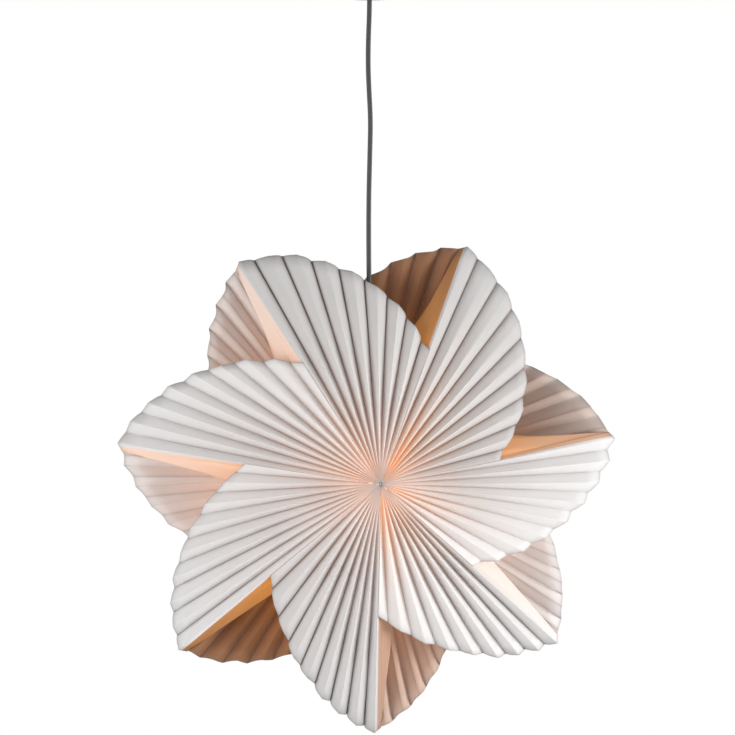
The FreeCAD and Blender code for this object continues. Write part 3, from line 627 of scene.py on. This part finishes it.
def open_sheet(star, number, bm, layers):
    """Lays out a sheet's creases from hub to rim, cut a little unevenly, and divides its flats."""
    creases = petal_creases(star, number)
    chance = random.Random(100 + number)
    hub = [bm.verts.new(crease[0]) for crease in creases]
    chain = [bm.edges.new(pair) for pair in zip(hub, hub[1:])]
    hub_ends = set(hub)
    bmesh.ops.extrude_edge_only(bm, edges=chain)
    long_edges = []
    for start, (inner, outer, fold, share, part) in zip(hub, creases):
        edge = next(e for e in start.link_edges if e.other_vert(start) not in hub_ends)
        long_edges.append(edge)
        end = edge.other_vert(start)
        shared = share in (0.0, 1.0) or part == WEB
        uneven = 0.0 if shared else chance.uniform(*CUT_LENGTHS)
        end.co = outer + (outer - inner).normalized() * uneven
        for vert, along in ((start, 0.0), (end, 1.0)):
            for name, value in (("along", along), ("fold", fold), ("part", part), ("share", share)):
                vert[layers[name]] = value
    for ends in (hub[:CREASES + 1], hub[-CREASES - 1:]):
        gather(bm, star, ends, layers["along"])
    bmesh.ops.subdivide_edges(bm, edges=long_edges, cuts=star.steps, use_grid_fill=True)
    along = layers["along"]
    level = [e for e in bm.edges if abs(e.verts[0][along] - e.verts[1][along]) < 1e-4]
    bmesh.ops.subdivide_edges(bm, edges=level, cuts=FLAT_CUTS, use_grid_fill=True)


def face_front(bm, part):
    """Turns a sheet's faces so that its front leaf looks out of the star."""
    bmesh.ops.recalc_face_normals(bm, faces=bm.faces[:])
    facing = sum(face.normal.y for face in bm.faces if max(vert[part] for vert in face.verts) < 0.5)
    if facing > 0.0:
        bmesh.ops.reverse_faces(bm, faces=bm.faces[:])
    bm.normal_update()


def bow_flats(star, number, bm, layers):
    """Bows each flat between its creases, waves the paper a little, and writes what its materials read."""
    middle = Vector((0.0, 0.0, -star.drop))
    for vert in bm.verts:
        along, fold, part, share = (vert[layers[name]] for name in ("along", "fold", "part", "share"))
        leaf = part < 0.01 or part > 1.99
        free = math.sin(math.pi * min(max(fold, 0.0), 1.0) ** 1.4)
        room = min(1.0, max(0.0, 4.0 * along)) * (1.0 if leaf else 0.6)
        edge_room = min(1.0, 6.0 * (1.0 - share)) if leaf else 1.0
        wave = noise.noise(vert.co * 21.0 + Vector((number * 3.1, 0.0, 0.0)))
        slow = noise.noise(vert.co * 7.0 + Vector((0.0, number * 5.3, 0.0)))
        waves = (FREE_WAVE * free + QUICK_WAVE) * wave + SLOW_WAVE * slow
        vert.co += vert.normal * waves * room * edge_room
        if leaf:
            away = vert.co - middle
            opened = math.hypot(away.x, away.z) * math.tau / PETALS / SLOTS
            vert.co += vert.normal * (PLEAT_CROWNS[number] * free * opened)
        away = vert.co - middle
        angle = math.degrees(math.atan2(away.z, away.x))
        vert[layers["along"]] = max(along, 0.0)
        for name, value in paint(number, part, fold, angle, math.hypot(away.x, away.z)).items():
            vert[layers[name]] = value


def by_direction(places, angle, least):
    """How strong something is in a direction from the hub, from its (direction, width, strength) places."""
    total = least
    for centre, width, strength in places:
        away = (angle - centre + 180.0) % 360.0 - 180.0
        total += strength * math.exp(-(away / width) ** 2)
    return total


def faded(reach, fade):
    """One near the hub, and less and less beyond a distance from it."""
    start, length = fade
    return math.exp(-max(reach - start, 0.0) / length)


def paint(number, part, fold, angle, reach):
    """What the paper's materials read at a place on a sheet, each value by its name."""
    if 0.5 <= part < 1.5:
        return {"glow": WEB_GLOW[number] * faded(reach, WEB_GLOW_FADE),
                "blush": WEB_PINK_GLOW * INNER_PINK_GLOW[number], "shade": WEB_SHADE[number],
                "warm": WEB_WARM_LIGHT[number], "line": INNER_LINE, "near": 0.0, "grey": 0.0}
    near = faded(reach, NEAR_FADE)
    if part >= 1.5:
        return {"glow": INNER_WARM_LIGHT[number] * (0.4 + 0.6 * fold) * faded(reach, INNER_GLOW_FADE),
                "blush": INNER_PINK_GLOW[number] * faded(reach, INNER_PINK_GLOW_FADE),
                "shade": INNER_SHADE[number] * (0.7 + 0.3 * fold),
                "warm": INNER_WARM_LIGHT[number], "line": INNER_LINE, "near": near, "grey": 0.0}
    rim, softness = EYE_RIM
    out = min(1.0, max(0.0, (reach - rim) / softness))
    veined = min(1.0, by_direction(HUB_LINES, angle, LEAST_LINE))
    lit = by_direction(FRONT_GLOWS, angle, LEAST_GLOW)
    blush = (0.95 - 0.30 * fold) * faded(reach, PINK_GLOW_FADE) * (0.55 + 0.45 * out)
    line = VALLEY_SHADE[number]
    return {"glow": lit * (0.35 + 0.65 * fold) * faded(reach, GLOW_FADE) * out,
            "blush": blush + 0.24 * (1.0 - veined) * near * fold, "shade": 0.0,
            "warm": 0.0, "line": line + (veined - line) * near, "near": near,
            "grey": LEAF_SHADES[number] * (1.0 - 0.7 * near)}


def petal(star, number, materials):
    """One sheet: front leaf, web and back leaf, creased, a little uneven, and as thick as its paper."""
    bm = bmesh.new()
    names = ("along", "fold", "part", "share", "glow", "blush", "shade", "warm", "line", "near", "grey")
    layers = {name: bm.verts.layers.float.new(name) for name in names}
    open_sheet(star, number, bm, layers)
    face_front(bm, layers["part"])
    for edge in bm.edges:
        edge.smooth = min(vert[layers["fold"]] for vert in edge.verts) < 0.99
    bow_flats(star, number, bm, layers)
    name = "pleated_petal_%d" % (number + 1)
    made = settled(bm, name, materials, CREASE_ANGLE, recalculate=False)
    wall = made.modifiers.new("paper", "SOLIDIFY")
    wall.thickness = star.paper
    wall.offset = 0.0
    wall.material_offset = 1
    wall.material_offset_rim = 2
    return placed(made, "star", "petal_%d" % (number + 1))


class STARLAMP_OT_petals(bpy.types.Operator):
    """Fold the seven pleated petals"""
    bl_idname = "starlamp.petals"
    bl_label = "Pleated Petals"

    def execute(self, context):
        star = context.scene.star_lamp_star
        colour = tuple(star.colour)
        glow = tuple(star.glow)
        # One side of a sheet is the front leaf's outer face and the back leaf's inner face
        face = paper("paper_face", colour, glow, inner=True)
        reverse = paper("paper_reverse", colour, glow)
        cut = paper("paper_cut", colour, glow, cut=True)
        for number in range(PETALS):
            petal(star, number, [face, reverse, cut])
        return {"FINISHED"}


# ---------------------------------------------------------------- flex
class STARLAMP_OT_cord(bpy.types.Operator):
    """Hang the flat twin flex"""
    bl_idname = "starlamp.cord"
    bl_label = "Flex"

    def execute(self, context):
        settings = context.scene.star_lamp_cord
        half = settings.thickness / 2
        reach = settings.width / 2 - half
        corners = []
        for side in (1, -1):
            for step in range(FLEX_CORNERS + 1):
                turn = math.pi * step / FLEX_CORNERS - math.pi / 2
                corners.append((side * (reach + math.cos(turn) * half), side * math.sin(turn) * half))
            corners.append((0.0, side * half * FLEX_WAIST))
        curve = bpy.data.curves.new("flex_section", "CURVE")
        curve.dimensions = "2D"
        outline_curve = curve.splines.new("POLY")
        outline_curve.points.add(len(corners) - 1)
        for point, (x, y) in zip(outline_curve.points, corners):
            point.co = (x, y, 0.0, 1.0)
        outline_curve.use_cyclic_u = True
        section = bpy.data.objects.new("flex_section", curve)
        line = bpy.data.curves.new("flex", "CURVE")
        line.dimensions = "3D"
        line.resolution_u = 10
        spline = line.splines.new("NURBS")
        spline.points.add(len(CORD_ROUTE) - 1)
        for number, (point, place) in enumerate(zip(spline.points, CORD_ROUTE)):
            point.co = (*place, 1.0)
            point.tilt = FLEX_TWIST * math.sin(0.9 * number)
        spline.order_u = 3
        spline.use_endpoint_u = True
        line.twist_mode = "MINIMUM"
        line.bevel_mode = "OBJECT"
        line.bevel_object = section
        line.use_fill_caps = True
        flex = bpy.data.objects.new("flex", line)
        context.scene.collection.objects.link(flex)
        material = flex_skin("flex_grey", tuple(settings.colour))
        line.materials.append(material)
        placed(flex, "pendant", "cord")
        finish_node("cord_tail", material, "cord_grey")
        return {"FINISHED"}


# ---------------------------------------------------------------- fittings
# Heights and radii of the fittings, in metres, as the CAD has them
HOLDER_LOW = -0.596
HOLDER_HIGH = -0.556
HOLDER_RADIUS = 0.021
HOLDER_WALL = 0.0022
CAP_TOP = -0.532
COLLAR_LOW = -0.5809
SHELL_HIGH = -0.5651
BULB_SEAT = -0.5674
GLOBE_MIDDLE = -0.644
GLOBE_RADIUS = 0.030
CUP_LOW = -0.068
CUP_RIM = 0.050
LINK_RADIUS = 0.005
LINK_CORNERS = 12


class STARLAMP_OT_hubs(bpy.types.Operator):
    """Make the hub bosses, their eyelets and the wire hanger"""
    bl_idname = "starlamp.hubs"
    bl_label = "Hubs and Hanger"

    def execute(self, context):
        star = context.scene.star_lamp_star
        looks = fitting_looks(context)
        start = star.half_depth - star.flat_width + 0.001
        end = start + 0.014
        for name, side in (("front", -1), ("back", 1)):
            place = Matrix.Translation((0, 0, -star.drop)) @ Matrix.Rotation(-side * math.pi / 2, 4, "X")
            boss = [(0.0015, start), (0.0053, start), (0.0065, start + 0.0012), (0.0065, end - 0.0012),
                    (0.0053, end), (0.0022, end), (0.0015, end - 0.0007)]
            groove = ribbed(20, 0.0005, start + 0.0015, end - 0.0013, 0.006)
            spun("%s_hub_boss" % name, boss, looks["boss"], "star", "%s_boss" % name, 0.0003, 120,
                 place, groove)
            eyelet = [(0.00135, end), (0.0029, end), (0.0030, end + 0.0006), (0.0023, end + 0.0016),
                      (0.0018, end + 0.0020), (0.00135, end + 0.0016)]
            spun("%s_hub_eyelet" % name, eyelet, looks["eyelet"], "star", "%s_eyelet" % name, 0.0002, 64,
                 place)
        low = COLLAR_LOW
        plate = [(0.0213, low), (0.0263, low), (0.0263, low + 0.0016), (0.0213, low + 0.0016)]
        spun("hanger_plate", plate, looks["steel"], "star", "star_hanger", 0.0003, 96)
        arms = []
        knee = star.half_depth - star.flat_width - 0.009
        line = [(0.0250, low + 0.0012), (0.0313, low + 0.0012), (0.0333, low + 0.0012),
                (0.0353, low - 0.0010), (knee - 0.0020, 0.0030 - star.drop), (knee, -star.drop),
                (knee + 0.0030, -star.drop), (end + 0.0030, -star.drop)]
        for side in (-1, 1):
            arms.append(([(0.0, side * y, z) for y, z in line], False))
        wires("hanger_arms", arms, 0.0024, looks["steel"], "star", "star_hanger")
        return {"FINISHED"}


class STARLAMP_OT_holder(bpy.types.Operator):
    """Make the lampholder, its shade ring and the cord grip"""
    bl_idname = "starlamp.holder"
    bl_label = "Lampholder"

    def execute(self, context):
        looks = fitting_looks(context)
        low, high, radius = HOLDER_LOW, HOLDER_HIGH, HOLDER_RADIUS
        inner = radius - HOLDER_WALL
        outside = [(inner, low), (radius - 0.0004, low)]
        outside += rows(radius - 0.0004, low + 0.0005, low + 0.0165, 40)
        outside += [(radius, low + 0.017), (0.0245, low + 0.017), (0.0245, low + 0.0195),
                    (radius, low + 0.0195), (radius, high - 0.004), (radius - 0.0006, high - 0.0035),
                    (radius, high - 0.003), (radius, high), (inner, high)]
        screw = rolled_thread(0.0025, 0.0004, low + 0.001, low + 0.016)

        def thread(r, turn, z):
            return screw(r, turn, z) if r > inner + 0.001 and z < low + 0.0166 else 0.0

        spun("lampholder_skirt", outside, looks["white"], "pendant", "lampholder_body", 0.0, 96,
             None, thread)
        dome = [(radius, high + 0.0001), (radius, high + 0.0050), (radius - 0.0005, high + 0.0072),
                (radius - 0.0018, high + 0.0095), (radius - 0.0038, high + 0.0122),
                (radius - 0.0068, high + 0.0147), (0.0110, high + 0.0166), (0.0086, high + 0.0178),
                (0.0073, high + 0.0191), (0.0070, high + 0.0205)]
        cap = dome + [(0.0070, CAP_TOP - 0.0001), (0.0033, CAP_TOP - 0.0001), (0.0033, high + 0.0180)]
        cap += [(r - HOLDER_WALL, z - 0.0013) for r, z in dome[-4:0:-1]] + [(inner, high + 0.0001)]
        ribs = ribbed(36, 0.0006, high + 0.0008, high + 0.0060, radius - 0.0001)
        spun("lampholder_cap", cap, looks["white"], "pendant", "lampholder_cap", 0.0, 216, None, ribs)
        grip = [(0.0, CAP_TOP), (0.0068, CAP_TOP), (0.0070, CAP_TOP + 0.0004), (0.0070, CAP_TOP + 0.0066),
                (0.0066, CAP_TOP + 0.0076), (0.0045, CAP_TOP + 0.0116), (0.0039, CAP_TOP + 0.0120),
                (0.0, CAP_TOP + 0.0120)]
        ribs = ribbed(18, 0.0005, CAP_TOP + 0.0003, CAP_TOP + 0.0068, 0.0067)
        spun("cord_grip_nut", grip, looks["white"], "pendant", "cord_grip", 0.0, 144, None, ribs)
        top = SHELL_HIGH
        tube = wall(rows(0.0141, top - 0.024, top, 60), 0.0004)
        screw = rolled_thread(0.0036, 0.00022, top - 0.023, top - 0.001)
        spun("brass_screw_shell", tube, looks["brass"], "pendant", "screw_shell", 0.0, 96, None, screw)
        high = COLLAR_LOW - 0.0003
        ring = [(0.0213, high - 0.008), (0.0268, high - 0.008), (0.0275, high - 0.0073),
                (0.0275, high - 0.0007), (0.0268, high), (0.0213, high)]
        teeth = ribbed(20, 0.0012, high - 0.008, high, 0.0262)
        spun("shade_ring", ring, looks["white"], "ring", "shade_ring", 0.0, 200, None, teeth)
        for node, look in (("lampholder_insert", "white"), ("centre_contact", "brass")):
            finish_node(node, *looks[look])
        return {"FINISHED"}


class STARLAMP_OT_bulb(bpy.types.Operator):
    """Make the bulb with its threaded base"""
    bl_idname = "starlamp.bulb"
    bl_label = "Bulb"

    def execute(self, context):
        looks = fitting_looks(context)
        seat = BULB_SEAT
        tip = [(0.0, seat - 0.004), (0.0040, seat - 0.004), (0.0040, seat - 0.0014),
               (0.0034, seat - 0.0006), (0.0020, seat - 0.0001), (0.0, seat)]
        spun("bulb_tip", tip, looks["steel"], "bulb", "bulb_contact", 0.0, 48)
        cone = [(0.0041, seat - 0.0038), (0.0117, seat - 0.0038), (0.0113, seat - 0.0030),
                (0.0072, seat - 0.0016), (0.0041, seat - 0.0012)]
        spun("bulb_insulator", cone, looks["black"], "bulb", "bulb_insulator", 0.0001, 64)
        high = seat - 0.004
        tube = wall(rows(0.01285, high - 0.022, high, 60), 0.0004)
        screw = rolled_thread(0.0036, 0.00034, high - 0.019, high - 0.0015)
        spun("bulb_screw_base", tube, looks["steel"], "bulb", "bulb_base", 0.0, 96, None, screw)
        high -= 0.0221
        cup = [(0.0126, high), (0.0131, high - 0.0015), (0.0139, high - 0.0045), (0.0158, high - 0.0095),
               (0.0179, high - 0.0135), (0.0190, high - 0.016)]
        spun("bulb_collar", wall(cup, 0.0016), looks["white"], "bulb", "bulb_collar", 0.0001, 96)
        walls = []
        for radius, neck in ((GLOBE_RADIUS, 0.019), (GLOBE_RADIUS - 0.001, 0.018)):
            start = math.acos(neck / radius)
            line = [(neck, high - 0.0161)]
            for step in range(37):
                turn = start - (start + math.pi / 2) * step / 36
                line.append((max(radius * math.cos(turn), 0.0), GLOBE_MIDDLE + radius * math.sin(turn)))
            walls.append(line)
        spun("bulb_globe", walls[0] + walls[1][::-1], looks["opal"], "bulb", "bulb_globe", 0.0, 96)
        return {"FINISHED"}


class STARLAMP_OT_ceiling(bpy.types.Operator):
    """Make the ceiling cup, its bush and the hanging fitting"""
    bl_idname = "starlamp.ceiling"
    bl_label = "Ceiling Fitting"

    def execute(self, context):
        looks = fitting_looks(context)
        low, rim = CUP_LOW, CUP_RIM
        bell = [(rim, -0.006), (rim - 0.0012, -0.0200), (rim - 0.0025, low + 0.0300),
                (rim - 0.0040, low + 0.014), (rim - 0.0048, low + 0.0106), (rim - 0.0063, low + 0.0078),
                (rim - 0.0088, low + 0.0050), (rim - 0.0120, low + 0.0029),
                (rim - 0.0160, low + 0.0010), (rim - 0.0205, low)]
        inner = [(r - 0.0016, z + 0.0004) for r, z in bell[1:-3]]
        inner += [(rim - 0.0130, low + 0.0045), (rim - 0.0170, low + 0.0026), (rim - 0.0208, low + 0.0016)]
        cup = bell + [(0.0066, low), (0.0066, low + 0.0016)] + inner[::-1] + [(rim - 0.0016, -0.006)]
        spun("ceiling_cup", cup, looks["white"], "cup", "ceiling_cup", 0.0001, 144)
        bush = [(0.0052, low - 0.0020), (0.0078, low - 0.0020), (0.0090, low - 0.0012), (0.0090, low),
                (0.0065, low), (0.0065, low + 0.0090), (0.0052, low + 0.0090)]
        spun("cup_bush", bush, looks["white"], "cup", "cup_bush", 0.0002, 72)
        low_corner, high_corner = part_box("hanger_link")
        height = (low_corner[2] + high_corner[2]) / 2
        reach = LINK_RADIUS / math.cos(math.pi / LINK_CORNERS)
        turns = [math.tau * number / LINK_CORNERS for number in range(LINK_CORNERS)]
        ring = [(0.0, reach * math.cos(turn), height + reach * math.sin(turn)) for turn in turns]
        wires("hanger_link", [(ring, True)], 0.0024, looks["steel"], "link", "hanger_link")
        for node, look in (("cup_screw", "steel"), ("ceiling_bracket", "steel"), ("ceiling_eye", "steel"),
                           ("cord_clip", "white"), ("terminal_block", "white"), ("terminal_screws", "brass")):
            finish_node(node, *looks[look])
        return {"FINISHED"}


def fitting_looks(context):
    """The fittings' materials, each with its slot. They are made once."""
    settings = context.scene.star_lamp_fittings
    white = tuple(settings.plastic)
    makers = {
        "white": ("moulded_white", "white_plastic", moulded_plastic, (white,)),
        # The hub boss and eyelet are darkened to the brownish pink of the paper's shade round the hub:
        # painted shade
        "boss": ("hub_plastic", "white_plastic", moulded_plastic, ((0.62, 0.50, 0.45), 0.6)),
        "eyelet": ("hub_eyelet", "steel", brushed_metal, ((0.60, 0.52, 0.46), 0.5)),
        "black": ("moulded_black", "black_plastic", moulded_plastic, ((0.02, 0.02, 0.02), 0.5)),
        "steel": ("zinc_plated_steel", "steel", brushed_metal, ((0.62, 0.62, 0.62),)),
        "brass": ("plain_brass", "brass", brushed_metal, ((0.80, 0.60, 0.28), 0.30)),
        "opal": ("opal_globe", "opal", opal_diffuser,
                 ((0.93, 0.91, 0.86), tuple(settings.bulb_colour), settings.bulb_light)),
    }
    looks = {}
    for key, (name, slot, maker, values) in makers.items():
        looks[key] = (bpy.data.materials.get(name) or maker(name, *values), slot)
    return looks


# ---------------------------------------------------------------- stage
class STARLAMP_OT_stage(bpy.types.Operator):
    """Set the floor, the backdrop, the lamps and the camera"""
    bl_idname = "starlamp.stage"
    bl_label = "Stage"

    def execute(self, context):
        scene = context.scene
        stage = scene.star_lamp_stage
        drop = scene.star_lamp_star.drop
        ahead = Vector((math.sin(stage.turn), math.cos(stage.turn), 0.0))
        right = Vector((math.cos(stage.turn), -math.sin(stage.turn), 0.0))
        lens = bpy.data.cameras.new("camera")
        lens.lens = stage.lens
        lens.sensor_width = 36.0
        camera = bpy.data.objects.new("camera", lens)
        aim = Vector((0.0, 0.0, stage.aim_up - drop)) + right * stage.aim_side
        camera.location = aim - ahead * stage.distance
        camera.rotation_euler = ahead.to_track_quat("-Z", "Y").to_euler()
        scene.collection.objects.link(camera)
        scene.camera = camera
        scene.view_settings.view_transform = "Standard"
        bm = bmesh.new()
        bmesh.ops.create_grid(bm, x_segments=8, y_segments=8, size=FLOOR_REACH)
        bmesh.ops.translate(bm, vec=(0.0, 0.0, stage.floor_height), verts=bm.verts[:])
        floor = settled(bm, "floor", [self.pale("floor", tuple(stage.floor_colour))], recalculate=False)
        self.room(scene, stage)
        self.lamp(scene, "key", KEY_PLACE, KEY_SIZE, stage.key, drop)
        self.lamp(scene, "fill", FILL_PLACE, FILL_SIZE, stage.fill, drop)
        return {"FINISHED"}

    def pale(self, name, colour):
        """A floor that looks white, and throws back only the light of its own colour."""
        finish = Finish(name, Roughness=0.9, Base_Color=colour)
        white = finish.node("ShaderNodeEmission", inputs={"Color": (1.0, 1.0, 1.0), "Strength": 1.0})
        inputs = {0: finish.seen(), 1: Value(finish, finish.skin.outputs[0]), 2: white}
        mixed = finish.node("ShaderNodeMixShader", inputs=inputs)
        finish.join(mixed.socket, finish.end.inputs[0])
        return finish.material

    def room(self, scene, stage):
        """A white background, and a weaker light from all round."""
        world = bpy.data.worlds.new("room")
        world.use_nodes = True
        scene.world = world
        nodes = Nodes(world.node_tree)
        end = nodes.tree.nodes.new("ShaderNodeOutputWorld")
        strength = nodes.seen() * (1.0 - stage.sky) + stage.sky
        sky = nodes.node("ShaderNodeBackground", inputs={"Color": (1.0, 1.0, 1.0), "Strength": strength})
        nodes.join(sky.socket, end.inputs[0])

    def lamp(self, scene, name, place, size, power, drop):
        """A large lamp that faces the star."""
        data = bpy.data.lights.new(name, "AREA")
        data.shape = "RECTANGLE"
        data.size, data.size_y = size
        data.energy = power
        lamp = bpy.data.objects.new(name, data)
        middle = Vector((0.0, 0.0, -drop))
        lamp.location = middle + Vector(place)
        lamp.rotation_euler = (middle - lamp.location).to_track_quat("-Z", "Y").to_euler()
        scene.collection.objects.link(lamp)


class STARLAMP_PT_panel(bpy.types.Panel):
    bl_label = "Star Lamp"
    bl_idname = "STARLAMP_PT_panel"
    bl_space_type = "VIEW_3D"
    bl_region_type = "UI"
    bl_category = "Star Lamp"

    def draw(self, context):
        for operator in OPERATORS:
            self.layout.operator(operator.bl_idname)
        for name in SETTINGS:
            group = getattr(context.scene, name)
            column = self.layout.column(heading=group.bl_rna.name)
            for key in group.bl_rna.properties.keys():
                if key not in ("rna_type", "name"):
                    column.prop(group, key)


OPERATORS = (STARLAMP_OT_stage, STARLAMP_OT_cord, STARLAMP_OT_petals, STARLAMP_OT_hubs, STARLAMP_OT_holder,
             STARLAMP_OT_bulb, STARLAMP_OT_ceiling)
SETTINGS = {
    "star_lamp_stage": StageSettings,
    "star_lamp_star": StarSettings,
    "star_lamp_cord": CordSettings,
    "star_lamp_fittings": FittingSettings,
}


def register():
    for kind in (*SETTINGS.values(), *OPERATORS, STARLAMP_PT_panel):
        bpy.utils.register_class(kind)
    for name, kind in SETTINGS.items():
        setattr(bpy.types.Scene, name, PointerProperty(type=kind))


def unregister():
    for name in SETTINGS:
        delattr(bpy.types.Scene, name)
    for kind in reversed((*SETTINGS.values(), *OPERATORS, STARLAMP_PT_panel)):
        bpy.utils.unregister_class(kind)


def main():
    register()
    bpy.ops.starlamp.stage()
    bpy.ops.starlamp.cord()
    bpy.ops.starlamp.petals()
    bpy.ops.starlamp.hubs()
    bpy.ops.starlamp.holder()
    bpy.ops.starlamp.bulb()
    bpy.ops.starlamp.ceiling()


if __name__ == "__main__":
    main()
